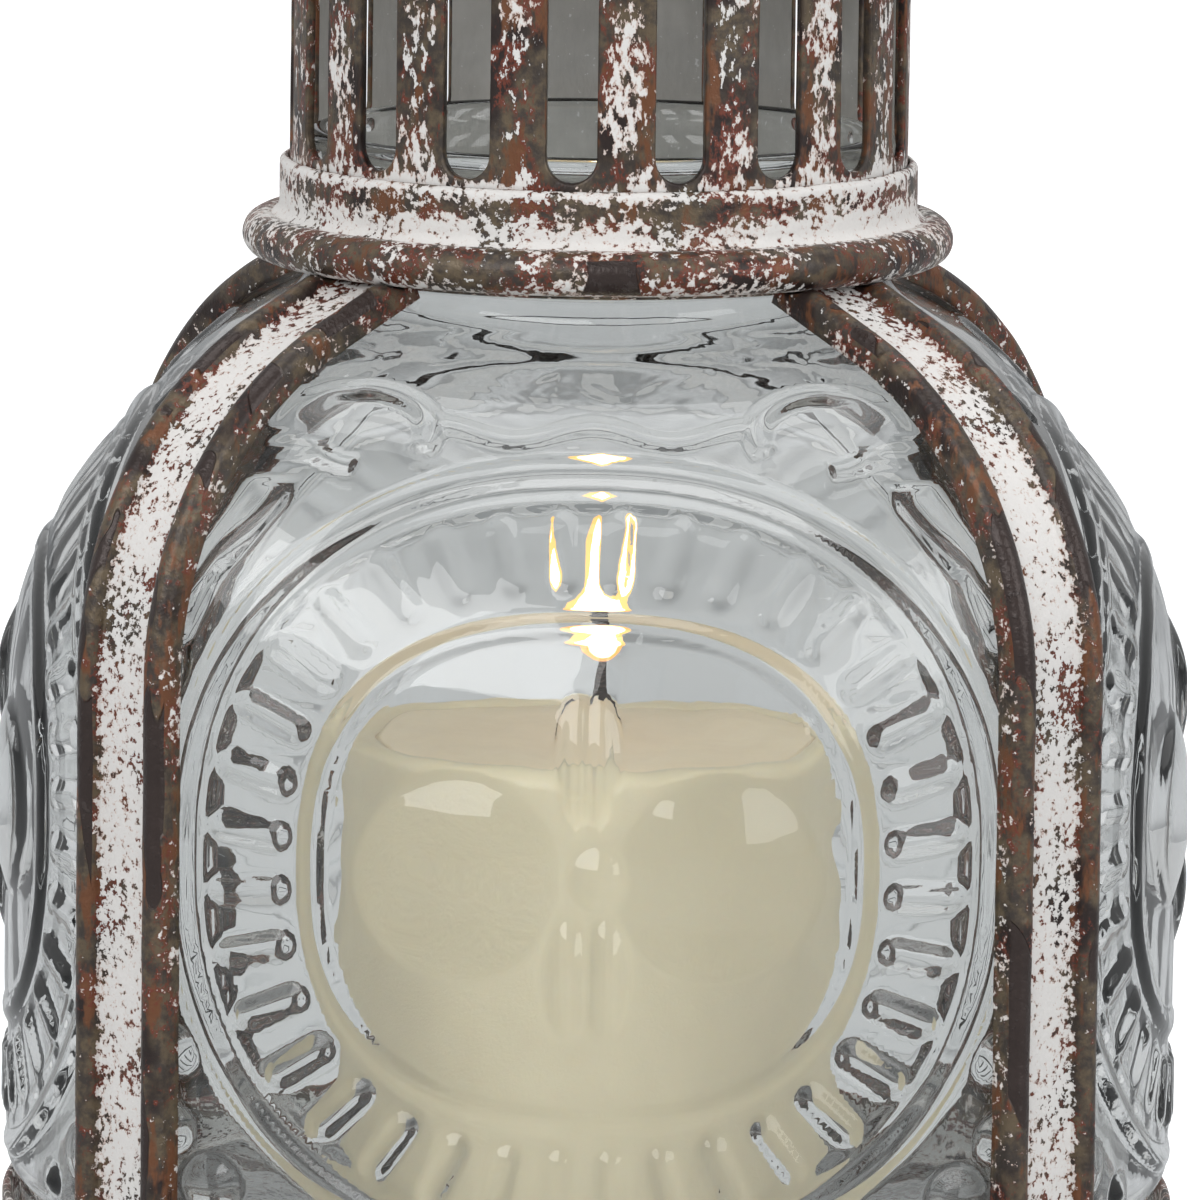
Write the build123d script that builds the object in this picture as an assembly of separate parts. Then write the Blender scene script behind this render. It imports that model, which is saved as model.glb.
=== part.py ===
"""Mason jar lantern: a square glass jar in a strap cage, a slotted lift-off chimney with a ring, and a pillar candle.

Millimetres, +Z up. The origin is on the table, under the centre of the base. -Y is the front.
"""
import os
from math import atan2, cos, degrees, radians, sin, sqrt

from build123d import *

# ---------------------------------------------------------------- driving dimensions
CORNERS = (45, 135, 225, 315)                 # azimuths of the four straps
CORNER_NAMES = ("back_right", "back_left", "front_left", "front_right")
SHEET = 1.2                                   # sheet metal of the pan, collar, chimney and roof
CORNER_SHARE = 0.347                          # corner radius of a body section, as a share of its corner distance

PAD_RADIUS = 8.0
PAD_HEIGHT = 3.0
PAD_OFFSET = 50.0

PAN_FLOOR_TOP = PAD_HEIGHT + SHEET
PAN_WALL_TOP = 18.0
PAN_OUTER = (82.3, 86.9)                      # half width at mid side, distance of the corner from the axis
RIM_LINE = (85.2, 90.0)
RIM_RADIUS = 3.4
RIM_WIRE_RADIUS = 2.3
RIM_Z = 4.6

GLASS_WALL = 4.0
GLASS_FLOOR = 7.0
JAR_BODY = (81.6, 86.3)
JAR_HEEL = (80.0, 84.8)
HEEL_TOP = 20.0
HEEL_STEP = 2.5
HEEL_FILLET = 6.0
SHOULDER_START = 87.0
NECK_START = 146.0
NECK_RADIUS = 40.0
NECK_WALL = 3.0
NECK_RIM_Z = 167.5
NECK_BEAD = 0.9
# (height, half width at mid side, distance of the corner from the axis) of the outer shoulder
SHOULDER = (
    (87.0, 81.6, 86.3),
    (99.0, 80.2, 86.1),
    (108.0, 77.3, 85.1),
    (116.0, 73.2, 82.6),
    (123.0, 67.8, 79.0),
    (130.0, 61.2, 73.6),
    (136.0, 54.8, 66.4),
    (141.0, 47.8, 57.2),
    (144.0, 43.4, 49.0),
    (146.0, 41.4, 43.4),
    (147.6, 40.7, 41.5),
)

STRAP_LINE = 86.8                             # distance of the strap's glass side from the axis
STRAP_BOTTOM = 8.2
STRAP_SHEET = 1.1
STRAP_ARC_RADIUS = 47.0
STRAP_ARC_START = 98.6
STRAP_ARC_TURN = 67.0
STRAP_END = 42.6
WEB_LOW = 0.4
WEB_HALF = 5.0
BEAD_OFFSET = 6.6
BEAD_RADIUS = 1.9
BEAD_RISE = 1.7
LEG_LOW = -0.8

RIVET_Z = 13.0
RIVET_RADIUS = 1.6
RIVET_HEAD = (3.0, 1.5)                       # radius, height
RIVET_TAIL = (2.5, 0.6)

HOOP_CENTRE = (42.4, 149.8)                   # round wire that ties the four straps together
HOOP_RADIUS = 1.2

ROLL_CENTRE = (46.4, 152.6)
ROLL_RADIUS = 3.1
ROLL_WIRE_RADIUS = 2.0
ROLL_GAP = 0.4                                # between the lid's roll and the ends of the straps
BAND_RADIUS = 44.4
BAND_TOP = 163.4
LEDGE_INNER = 41.3
LEDGE_OUTER = 45.0
LEDGE_Z = HOOP_CENTRE[1] + HOOP_RADIUS

CHIMNEY_RADIUS = 43.0
CHIMNEY_BOTTOM = LEDGE_Z + SHEET
CHIMNEY_TOP = 219.0
SLOT_COUNT = 18
SLOT_WIDTH = 7.0
SLOT_LOW = 164.4
SLOT_HIGH = 210.5
SLOT_PHASE = -94.7                            # azimuth of one slot's middle

SKIRT_LOW = 213.5
EAVE_CENTRE = (46.6, 220.4)
EAVE_RADIUS = 3.0
DOME_SPRING = (44.6, 222.0)
DOME_MIDDLE = (30.0, 236.4)
CROWN_RADIUS = 10.0
CROWN_TOP = 243.6

WASHER = (8.0, 1.4)                           # radius, thickness
BOLT_RADIUS = 2.5
EYE_RADIUS = 5.2
EYE_WIRE = 2.0
NUT_ACROSS = 9.0
NUT_HEIGHT = 4.0
RING_RADIUS = 27.0
RING_WIRE = 2.4
RING_REST = 28.9                              # degrees the ring hangs below level, towards the back

CANDLE_RADIUS = 35.0
CANDLE_TOP = 82.0
BASIN_RADIUS = 30.0
BASIN_DEPTH = 2.2
POOL_DEPTH = 0.8
WICK_RADIUS = 0.9
WICK_TOP = 94.0
SUSTAINER = (8.0, 0.5)
SUSTAINER_COLLAR = (1.8, 4.0)

JAR_BOTTOM = PAN_FLOOR_TOP
CANDLE_BOTTOM = JAR_BOTTOM + GLASS_FLOOR
EYE_Z = CROWN_TOP + WASHER[1] + EYE_RADIUS + EYE_WIRE
FINE = 0.05                                   # depth by which cutting tools run past a face


# ---------------------------------------------------------------- helpers
def section_wire(half, corner, z):
    """A square with bulged sides and round corners, as eight arcs, each tangent to the next."""
    round_r = CORNER_SHARE * corner
    g = (corner - round_r) / sqrt(2)
    side = half - round_r
    e = (2 * g * g - side * side) / (2 * (side - g))
    side_r = half + e
    turn = degrees(atan2(g, g + e))
    edges = []
    for quarter in range(4):
        frame = Plane(origin=(0, 0, z), x_dir=Vector(1, 0, 0).rotate(Axis.Z, 90 * quarter), z_dir=(0, 0, 1))
        edges.append(frame * CenterArc((-e, 0), side_r, -turn, 2 * turn))
        edges.append(frame * CenterArc((g, g), round_r, turn, 90 - 2 * turn))
    return Wire(edges)


def section_face(half, corner, z):
    return Face(section_wire(half, corner, z))


def prism(half, corner, low, high):
    """The section, stood up as a solid between two heights."""
    return extrude(section_face(half, corner, low), amount=high - low, dir=(0, 0, 1))


def cylinder(radius, low, high):
    return Pos(0, 0, low) * extrude(Circle(radius), amount=high - low)


def tube(outer, inner, low, high):
    return cylinder(outer, low, high) - cylinder(inner, low - FINE, high + FINE)


def ring_round(centre, radius):
    """A torus around the lantern's axis, from its centreline's (radius, height)."""
    return Pos(0, 0, centre[1]) * Torus(centre[0], radius)


def turned(solid, azimuth):
    return Rot(0, 0, azimuth) * solid


def bottom_edges(solid, z):
    return solid.edges().filter_by(lambda e: abs(e.center().Z - z) < 0.01)


# ---------------------------------------------------------------- glass jar
def jar_outside():
    heel = prism(*JAR_HEEL, JAR_BOTTOM, HEEL_TOP)
    heel = fillet(bottom_edges(heel, JAR_BOTTOM), HEEL_FILLET)
    step = loft([section_face(*JAR_HEEL, HEEL_TOP), section_face(*JAR_BODY, HEEL_TOP + HEEL_STEP)], ruled=True)
    body = prism(*JAR_BODY, HEEL_TOP + HEEL_STEP, SHOULDER_START)
    shoulder = loft([section_face(half, corner, z) for z, half, corner in SHOULDER])
    neck = cylinder(NECK_RADIUS, NECK_START, NECK_RIM_Z)
    bead = ring_round((NECK_RADIUS - NECK_BEAD / 2, NECK_RIM_Z - 2.5), 1.8) & cylinder(
        NECK_RADIUS + NECK_BEAD, NECK_RIM_Z - 5, NECK_RIM_Z
    )
    return heel + step + body + shoulder + neck + bead


def inner_section(z, half, corner):
    """The shoulder section moved in by one wall, along a normal that leans over as the shoulder closes."""
    lean = min(1.0, max(0.0, (z - SHOULDER_START) / 29.0))
    inset = GLASS_WALL - 1.2 * lean
    return section_face(half - inset, corner - inset, z - 3.0 * lean)


def jar_inside():
    floor = CANDLE_BOTTOM
    body = prism(JAR_BODY[0] - GLASS_WALL, JAR_BODY[1] - GLASS_WALL, floor, SHOULDER_START)
    body = fillet(bottom_edges(body, floor), HEEL_FILLET)
    shoulder = loft([inner_section(*row) for row in SHOULDER])
    top = SHOULDER[-1][0] - 3.0
    neck = cylinder(NECK_RADIUS - GLASS_WALL + 1.2, top, NECK_RIM_Z + FINE)
    return body + shoulder + neck


def glass_jar():
    return jar_outside() - jar_inside()


# ---------------------------------------------------------------- base
def rim_tube(radius):
    line = section_wire(*RIM_LINE, RIM_Z)
    start = line @ 0
    profile = Plane(origin=start, z_dir=line % 0) * Circle(radius)
    return sweep(profile, path=line)


def rivet_bore(extra=0.0):
    bore = extrude(Circle(RIVET_RADIUS), amount=8.0 + extra)
    return Pos(STRAP_LINE - 4.0, 0, RIVET_Z) * Rot(0, 90, 0) * bore


def base_pan():
    half, corner = PAN_OUTER
    pan = prism(half, corner, PAD_HEIGHT, PAN_WALL_TOP)
    pan -= prism(half - SHEET, corner - SHEET, PAN_FLOOR_TOP, PAN_WALL_TOP + FINE)
    pan += rim_tube(RIM_RADIUS) - prism(half - SHEET, corner - SHEET, PAN_FLOOR_TOP, PAN_WALL_TOP)
    pan -= rim_tube(RIM_WIRE_RADIUS)
    for azimuth in CORNERS:
        pan -= turned(rivet_bore(), azimuth)
    return pan


def foot_pad(azimuth):
    pad = cylinder(PAD_RADIUS, 0, PAD_HEIGHT)
    pad = chamfer(bottom_edges(pad, 0), 0.6)
    return turned(Pos(PAD_OFFSET * sqrt(2), 0, 0) * pad, azimuth)


# ---------------------------------------------------------------- cage
def strap_section():
    """The strap's sheet: a flat web between two half-round beads, each with a leg down to the glass."""
    web = Rectangle(2 * WEB_HALF, STRAP_SHEET, align=(Align.CENTER, Align.MIN))
    section = Pos(0, WEB_LOW) * web
    for side in (-1, 1):
        middle = side * BEAD_OFFSET
        bead = Circle(BEAD_RADIUS) - Circle(BEAD_RADIUS - STRAP_SHEET)
        bead &= Pos(0, BEAD_RADIUS) * Rectangle(2 * BEAD_RADIUS, 2 * BEAD_RADIUS)
        section += Pos(middle, BEAD_RISE) * bead
        leg_offset = BEAD_RADIUS - STRAP_SHEET / 2
        inner_leg = Rectangle(STRAP_SHEET, BEAD_RISE - WEB_LOW, align=(Align.CENTER, Align.MIN))
        outer_leg = Rectangle(STRAP_SHEET, BEAD_RISE - LEG_LOW, align=(Align.CENTER, Align.MIN))
        section += Pos(middle - side * leg_offset, WEB_LOW) * inner_leg
        section += Pos(middle + side * leg_offset, LEG_LOW) * outer_leg
    return section


def strap_path():
    """Up the jar's corner, over the shoulder in one arc and in towards the neck, in the XZ plane."""
    centre = Vector(STRAP_LINE - STRAP_ARC_RADIUS, 0, STRAP_ARC_START)
    turn = radians(STRAP_ARC_TURN)
    foot = Vector(STRAP_LINE, 0, STRAP_BOTTOM)
    spring = Vector(STRAP_LINE, 0, STRAP_ARC_START)
    half_way = centre + Vector(cos(turn / 2), 0, sin(turn / 2)) * STRAP_ARC_RADIUS
    leave = centre + Vector(cos(turn), 0, sin(turn)) * STRAP_ARC_RADIUS
    slope = Vector(-sin(turn), 0, cos(turn))
    end = leave + slope * ((leave.X - STRAP_END) / sin(turn))
    return Wire([Line(foot, spring), ThreePointArc(spring, half_way, leave), Line(leave, end)])


def corner_strap(azimuth):
    """One strap, its upper end coped to the hoop it is welded to and cut short of the lid's roll."""
    plane = Plane(origin=(STRAP_LINE, 0, STRAP_BOTTOM), x_dir=(0, -1, 0), z_dir=(0, 0, 1))
    strap = sweep(plane * strap_section(), path=strap_path())
    strap -= ring_round(ROLL_CENTRE, ROLL_RADIUS + ROLL_GAP)
    strap -= ring_round(HOOP_CENTRE, HOOP_RADIUS)
    strap -= rivet_bore()
    return turned(strap, azimuth)


def strap_rivet(azimuth):
    """A domed rivet through strap and pan, its flat tail seated on the curved inside of the pan's corner."""
    bend = CORNER_SHARE * (PAN_OUTER[1] - SHEET)
    sag = bend - sqrt(bend**2 - RIVET_TAIL[0] ** 2)
    outside = STRAP_LINE + WEB_LOW + STRAP_SHEET
    inside = PAN_OUTER[1] - SHEET - sag
    shank = extrude(Circle(RIVET_RADIUS), amount=outside - inside)
    tail = Pos(0, 0, -RIVET_TAIL[1]) * extrude(Circle(RIVET_TAIL[0]), amount=RIVET_TAIL[1])
    head_r, head_h = RIVET_HEAD
    dome_r = (head_r * head_r + head_h * head_h) / (2 * head_h)
    dome = Pos(0, 0, head_h - dome_r) * Sphere(dome_r)
    dome &= extrude(Circle(head_r), amount=head_h)
    head = Pos(0, 0, outside - inside) * dome
    return turned(Pos(inside, 0, RIVET_Z) * Rot(0, 90, 0) * (shank + tail + head), azimuth)


def cage_hoop():
    return ring_round(HOOP_CENTRE, HOOP_RADIUS)


# ---------------------------------------------------------------- lift-off lid
def lid_collar():
    """The band round the jar's neck, its ledge for the chimney and its wired, rolled lower edge."""
    band_inner = BAND_RADIUS - SHEET
    band = tube(BAND_RADIUS, band_inner, ROLL_CENTRE[1], BAND_TOP)
    band = fillet(band.edges().filter_by(GeomType.CIRCLE).group_by(Axis.Z)[-1].sort_by(SortBy.RADIUS)[-1], 0.9)
    cove = tube(BAND_RADIUS + 2.0, band_inner, ROLL_CENTRE[1], ROLL_CENTRE[1] + ROLL_RADIUS + 1.6)
    cove -= ring_round((BAND_RADIUS + 2.0, ROLL_CENTRE[1] + ROLL_RADIUS + 1.6), 2.0)
    ledge = tube(LEDGE_OUTER, LEDGE_INNER, LEDGE_Z, LEDGE_Z + SHEET)
    roll = ring_round(ROLL_CENTRE, ROLL_RADIUS) - cylinder(band_inner, LEDGE_Z + SHEET, BAND_TOP)
    return band + cove + ledge + roll - ring_round(ROLL_CENTRE, ROLL_WIRE_RADIUS)


def vent_chimney():
    wall = tube(CHIMNEY_RADIUS, CHIMNEY_RADIUS - SHEET, CHIMNEY_BOTTOM, CHIMNEY_TOP)
    slot = SlotOverall(SLOT_HIGH - SLOT_LOW, SLOT_WIDTH)
    cutter = Pos(0, 0, CHIMNEY_RADIUS - 5.0) * extrude(slot, amount=10.0)
    cutter = Pos(0, 0, (SLOT_LOW + SLOT_HIGH) / 2) * Rot(0, 90, 0) * cutter
    for index in range(SLOT_COUNT):
        wall -= turned(cutter, SLOT_PHASE + index * 360 / SLOT_COUNT)
    return wall


def cap_roof():
    """A domed sheet roof, with a skirt over the chimney and a rolled eave."""
    skirt_inner = CHIMNEY_RADIUS + FINE
    crown_start = (CROWN_RADIUS, CROWN_TOP)
    dome_line = ThreePointArc(DOME_SPRING, DOME_MIDDLE, crown_start)
    under_spring = (DOME_SPRING[0] - 1.5, DOME_SPRING[1] - 0.3)
    under_middle = (DOME_MIDDLE[0] - 0.8, DOME_MIDDLE[1] - 0.9)
    under_crown = (CROWN_RADIUS, CROWN_TOP - SHEET)
    under_line = ThreePointArc(under_crown, under_middle, under_spring)
    outline = [
        dome_line,
        Line(crown_start, (0, CROWN_TOP)),
        Line((0, CROWN_TOP), (0, CROWN_TOP - SHEET)),
        Line((0, CROWN_TOP - SHEET), under_crown),
        under_line,
        Line(under_spring, DOME_SPRING),
    ]
    profile = Plane.XZ * make_face(outline)
    dome = revolve(profile, axis=Axis.Z)
    skirt = tube(skirt_inner + SHEET, skirt_inner, SKIRT_LOW, DOME_SPRING[1])
    eave = ring_round(EAVE_CENTRE, EAVE_RADIUS) - cylinder(skirt_inner, SKIRT_LOW, DOME_SPRING[1] + 1)
    return dome + skirt + eave - cylinder(BOLT_RADIUS, CROWN_TOP - 5, CROWN_TOP + 5)


def crown_washer():
    return tube(WASHER[0], BOLT_RADIUS, CROWN_TOP, CROWN_TOP + WASHER[1])


def crown_nut():
    top = CROWN_TOP - SHEET
    nut = extrude(RegularPolygon(NUT_ACROSS / 2, 6, major_radius=False), amount=-NUT_HEIGHT)
    return Pos(0, 0, top) * nut - cylinder(BOLT_RADIUS, top - 5, top + 1)


def eye_bolt():
    eye = Pos(0, 0, EYE_Z) * Rot(0, 90, 0) * Torus(EYE_RADIUS, EYE_WIRE)
    stem = cylinder(BOLT_RADIUS, CROWN_TOP - SHEET - NUT_HEIGHT - 1.0, EYE_Z - EYE_RADIUS)
    collar = cylinder(BOLT_RADIUS + 1.0, CROWN_TOP + WASHER[1], EYE_Z - EYE_RADIUS - 0.4)
    hole = Pos(-5, 0, EYE_Z) * Rot(0, 90, 0) * extrude(Circle(EYE_RADIUS - EYE_WIRE), amount=10)
    return eye + stem + collar - hole


def carrying_ring():
    ring = Pos(0, RING_RADIUS, 0) * Torus(RING_RADIUS, RING_WIRE)
    return Pos(0, 0, EYE_Z) * Rot(-RING_REST, 0, 0) * ring


# ---------------------------------------------------------------- candle
def candle_body():
    candle = cylinder(CANDLE_RADIUS, CANDLE_BOTTOM, CANDLE_TOP)
    candle = fillet(candle.edges().filter_by(GeomType.CIRCLE), 1.2)
    basin_low = CANDLE_TOP - BASIN_DEPTH
    candle -= cylinder(BASIN_RADIUS, basin_low, CANDLE_TOP + 1)
    candle -= cylinder(WICK_RADIUS, CANDLE_BOTTOM - 1, CANDLE_TOP)
    candle -= cylinder(SUSTAINER[0], CANDLE_BOTTOM - 1, CANDLE_BOTTOM + SUSTAINER[1])
    candle -= cylinder(SUSTAINER_COLLAR[0], CANDLE_BOTTOM - 1, CANDLE_BOTTOM + SUSTAINER_COLLAR[1])
    return candle


def melted_wax():
    low = CANDLE_TOP - BASIN_DEPTH
    return tube(BASIN_RADIUS, WICK_RADIUS, low, low + POOL_DEPTH)


def wick():
    return cylinder(WICK_RADIUS, CANDLE_BOTTOM, WICK_TOP)


def wick_sustainer():
    disc = cylinder(SUSTAINER[0], CANDLE_BOTTOM, CANDLE_BOTTOM + SUSTAINER[1])
    collar = cylinder(SUSTAINER_COLLAR[0], CANDLE_BOTTOM, CANDLE_BOTTOM + SUSTAINER_COLLAR[1])
    return disc + collar - cylinder(WICK_RADIUS, CANDLE_BOTTOM - 1, CANDLE_TOP)


# ---------------------------------------------------------------- assembly
def all_parts():
    parts = {
        "base_pan": base_pan(),
        "base_rim_wire": rim_tube(RIM_WIRE_RADIUS),
        "glass_jar": glass_jar(),
        "strap_rivets": Compound([strap_rivet(azimuth) for azimuth in CORNERS]),
        "cage_hoop": cage_hoop(),
        "lid_collar": lid_collar(),
        "collar_rim_wire": ring_round(ROLL_CENTRE, ROLL_WIRE_RADIUS),
        "vent_chimney": vent_chimney(),
        "cap_roof": cap_roof(),
        "crown_washer": crown_washer(),
        "crown_nut": crown_nut(),
        "eye_bolt": eye_bolt(),
        "carrying_ring": carrying_ring(),
        "candle_body": candle_body(),
        "melted_wax": melted_wax(),
        "wick": wick(),
        "wick_sustainer": wick_sustainer(),
    }
    for name, azimuth in zip(CORNER_NAMES, CORNERS):
        parts["corner_strap_" + name] = corner_strap(azimuth)
        parts["foot_pad_" + name] = foot_pad(azimuth)
    return parts


if __name__ == "__main__":
    os.makedirs("parts", exist_ok=True)
    for part_name, shape in all_parts().items():
        export_step(shape, f"parts/{part_name}.step")
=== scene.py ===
"""Looks of the mason jar lantern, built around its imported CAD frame.

Metres, +Z up, and the front faces -Y. Shapes are worked out in millimetres and scaled once, when a mesh is made.
"""

import math

import bmesh
import bpy
import numpy as np
from mathutils import Matrix, Vector


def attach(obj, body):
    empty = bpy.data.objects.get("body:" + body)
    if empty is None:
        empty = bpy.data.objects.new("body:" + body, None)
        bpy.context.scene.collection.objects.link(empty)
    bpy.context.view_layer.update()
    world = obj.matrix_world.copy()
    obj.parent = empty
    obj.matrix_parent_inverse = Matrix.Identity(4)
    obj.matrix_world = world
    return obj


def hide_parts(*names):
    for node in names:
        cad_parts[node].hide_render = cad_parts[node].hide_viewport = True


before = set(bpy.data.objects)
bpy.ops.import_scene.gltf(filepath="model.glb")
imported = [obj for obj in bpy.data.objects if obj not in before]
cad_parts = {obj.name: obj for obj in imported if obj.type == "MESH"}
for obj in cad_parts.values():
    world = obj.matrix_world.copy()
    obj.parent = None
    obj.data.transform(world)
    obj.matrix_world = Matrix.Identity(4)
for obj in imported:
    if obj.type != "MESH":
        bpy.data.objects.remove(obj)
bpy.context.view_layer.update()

MM = 0.001
TAU = 2 * math.pi

# ---------------------------------------------------------------- sizes, as in the CAD model (mm)
CORNER_SHARE = 0.347
SHEET = 1.2
JAR_BOTTOM = 4.2
JAR_FLOOR = 11.2
WALL = 4.0
NECK_R = 40.0
NECK_RIM_Z = 167.5
# (height, half width at mid side, distance of the corner from the axis) of the jar's outside
JAR_PROFILE = (
    (24.0, 81.6, 86.3),
    (55.0, 81.6, 86.3),
    (87.0, 81.6, 86.3),
    (99.0, 80.2, 86.1),
    (108.0, 77.3, 85.1),
    (116.0, 73.2, 82.6),
    (123.0, 67.8, 79.0),
    (130.0, 61.2, 73.6),
    (136.0, 54.8, 66.4),
    (141.0, 47.8, 57.2),
    (144.0, 43.4, 49.0),
    (146.0, 41.4, 43.4),
    (147.8, 40.4, 40.9),
)
STRAP_LINE = 86.8
STRAP_LOW = 8.2
STRAP_ARC_R = 47.0
STRAP_ARC_Z = 98.6
STRAP_TURN = math.radians(67.0)
STRAP_END = 42.6
STRAP_T = 1.1
BEAD_U, BEAD_R, BEAD_V = 6.6, 1.9, 1.7
WEB_V = 0.4
LEG_V = -0.8
ROLL = (46.4, 152.6, 3.1)
ROLL_GAP = 0.4
BAND_R, BAND_TOP = 44.4, 163.4
LEDGE_Z, LEDGE_IN = 151.0, 41.3
TUBE_R, TUBE_LOW, TUBE_TOP = 43.0, 152.2, 219.0
SLOTS, SLOT_W, SLOT_LOW, SLOT_HIGH = 18, 7.0, 164.4, 210.5
SLOT_PHASE = math.radians(-94.7)
SKIRT_LOW = 213.5
EAVE = (46.6, 220.4, 3.0)
DOME_SPRING, DOME_MIDDLE, CROWN_R, CROWN_Z = (44.6, 222.0), (30.0, 236.4), 10.0, 243.6
PAN_LOW, PAN_FLOOR, PAN_TOP = 3.0, 4.2, 18.0
PAN_HALF, PAN_CORNER = 82.3, 86.9
PAN_RIM = (85.2, 90.0, 4.6, 3.4)              # half width, corner, height and radius of the rolled edge
HEEL_HALF, HEEL_CORNER, HEEL_R = 80.0, 84.8, 6.0
CANDLE_R, CANDLE_TOP, WICK_TOP = 35.0, 82.0, 94.0
FLAME_LOW, FLAME_TOP, FLAME_R = 92.6, 115.8, 4.3


# ---------------------------------------------------------------- mesh helpers
def make_piece(name, points, faces, material, body, slot, cad_nodes=(), **layers):
    """A mesh piece from points in mm. Each layer is one number a point, kept for the material to read."""
    mesh = bpy.data.meshes.new(name)
    mesh.from_pydata((np.asarray(points, float) * MM).tolist(), [], faces)
    for key, values in layers.items():
        layer = mesh.attributes.new(key, "FLOAT", "POINT")
        layer.data.foreach_set("value", np.asarray(values, np.float32))
    mesh.validate()
    mesh.shade_smooth()
    mesh.materials.append(material)
    piece = bpy.data.objects.new(name, mesh)
    bpy.context.scene.collection.objects.link(piece)
    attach(piece, body)
    if cad_nodes:
        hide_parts(*cad_nodes)
    return piece


def grid_faces(rows, cols, first=0, close_rows=False):
    """Quads of a grid whose columns go round and whose rows are open, unless close_rows."""
    faces = []
    for r in range(rows if close_rows else rows - 1):
        a = first + r * cols
        b = first + ((r + 1) % rows) * cols
        for c in range(cols):
            d = (c + 1) % cols
            faces.append((a + c, a + d, b + d, b + c))
    return faces


def recalc_normals(piece):
    bm = bmesh.new()
    bm.from_mesh(piece.data)
    bmesh.ops.remove_doubles(bm, verts=bm.verts, dist=1e-6)
    bmesh.ops.recalc_face_normals(bm, faces=bm.faces)
    bm.to_mesh(piece.data)
    bm.free()


def ripple(points, size, amount, seed):
    """A smooth, repeatable wobble for each point: a sum of sine waves in set directions."""
    rng = np.random.default_rng(seed)
    total = np.zeros(len(points))
    for octave in range(3):
        for _ in range(4):
            direction = rng.normal(size=3)
            direction *= TAU / (size / 1.9**octave) / np.linalg.norm(direction)
            total += np.sin(points @ direction + rng.uniform(0, TAU)) / 1.9**octave
    return amount * total / 5.0


def revolve(profile, segments, wobble=0.0, wobble_size=9.0, seed=1):
    """Points and faces of a closed (radius, height) outline turned round the lantern's axis."""
    outline = np.asarray(profile, float)
    angle = np.arange(segments) * TAU / segments
    ring = np.stack([np.cos(angle), np.sin(angle)], axis=1)
    points = np.empty((len(outline), segments, 3))
    points[:, :, :2] = outline[:, None, :1] * ring[None]
    points[:, :, 2] = outline[:, 1:2]
    points = points.reshape(-1, 3)
    if wobble:
        shift = ripple(points, wobble_size, wobble, seed)
        points[:, :2] *= (1 + shift / np.maximum(np.hypot(points[:, 0], points[:, 1]), 1))[:, None]
    return points, grid_faces(len(outline), segments, close_rows=True)


def arc(centre, radius, start, end, count):
    """Points on a circle, from one angle in degrees to another."""
    angles = np.radians(np.linspace(start, end, count))
    return [(centre[0] + radius * math.cos(a), centre[1] + radius * math.sin(a)) for a in angles]


def catmull(table, spacing):
    """Points about one spacing apart on a smooth curve through the table's rows."""
    rows = np.asarray(table, float)
    rows = np.vstack([2 * rows[0] - rows[1], rows, 2 * rows[-1] - rows[-2]])
    out = []
    for i in range(1, len(rows) - 2):
        before, here, there, after = rows[i - 1:i + 3]
        steps = max(2, round(float(np.linalg.norm(there - here)) / spacing))
        for t in np.arange(steps) / steps:
            out.append(
                0.5 * (2 * here + (there - before) * t + (2 * before - 5 * here + 4 * there - after) * t**2
                       + (3 * here - before - 3 * there + after) * t**3)
            )
    out.append(rows[-2])
    return np.array(out)


def section(half, corner, side_count, corner_count):
    """A square with bulged sides and round corners: its points, and how far along its side each one is."""
    round_r = CORNER_SHARE * corner
    g = (corner - round_r) / math.sqrt(2)
    side = half - round_r
    e = (2 * g * g - side * side) / (2 * (side - g))
    side_r = half + e
    turn = math.atan2(g, g + e)
    a = np.linspace(-turn, turn, side_count, endpoint=False)
    b = np.linspace(turn, math.pi / 2 - turn, corner_count, endpoint=False)
    x = np.concatenate([-e + side_r * np.cos(a), g + round_r * np.cos(b)])
    y = np.concatenate([side_r * np.sin(a), g + round_r * np.sin(b)])
    # past the corner's middle a point belongs to the next side
    over = y > x
    lateral = np.where(over, -x, y)
    points = [np.stack([x, y], axis=1)]
    for _ in range(3):
        last = points[-1]
        points.append(np.stack([-last[:, 1], last[:, 0]], axis=1))
    return np.vstack(points), np.tile(lateral, 4)


def sectioned(rows, side_count, corner_count):
    """Points (row, column, xyz) and lateral positions of a wall given by (height, half width, corner) rows."""
    points, laterals = [], []
    for z, half, corner in rows:
        flat, lateral = section(half, corner, side_count, corner_count)
        points.append(np.column_stack([flat, np.full(len(flat), z)]))
        laterals.append(lateral)
    return np.array(points), np.array(laterals)


def grid_normals(points):
    """Outward normals of a grid of points whose columns go round anticlockwise and whose rows go up."""
    along = np.roll(points, -1, axis=1) - np.roll(points, 1, axis=1)
    up = np.gradient(points, axis=0)
    normal = np.cross(along, up)
    return normal / np.maximum(np.linalg.norm(normal, axis=2, keepdims=True), 1e-9)


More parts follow.
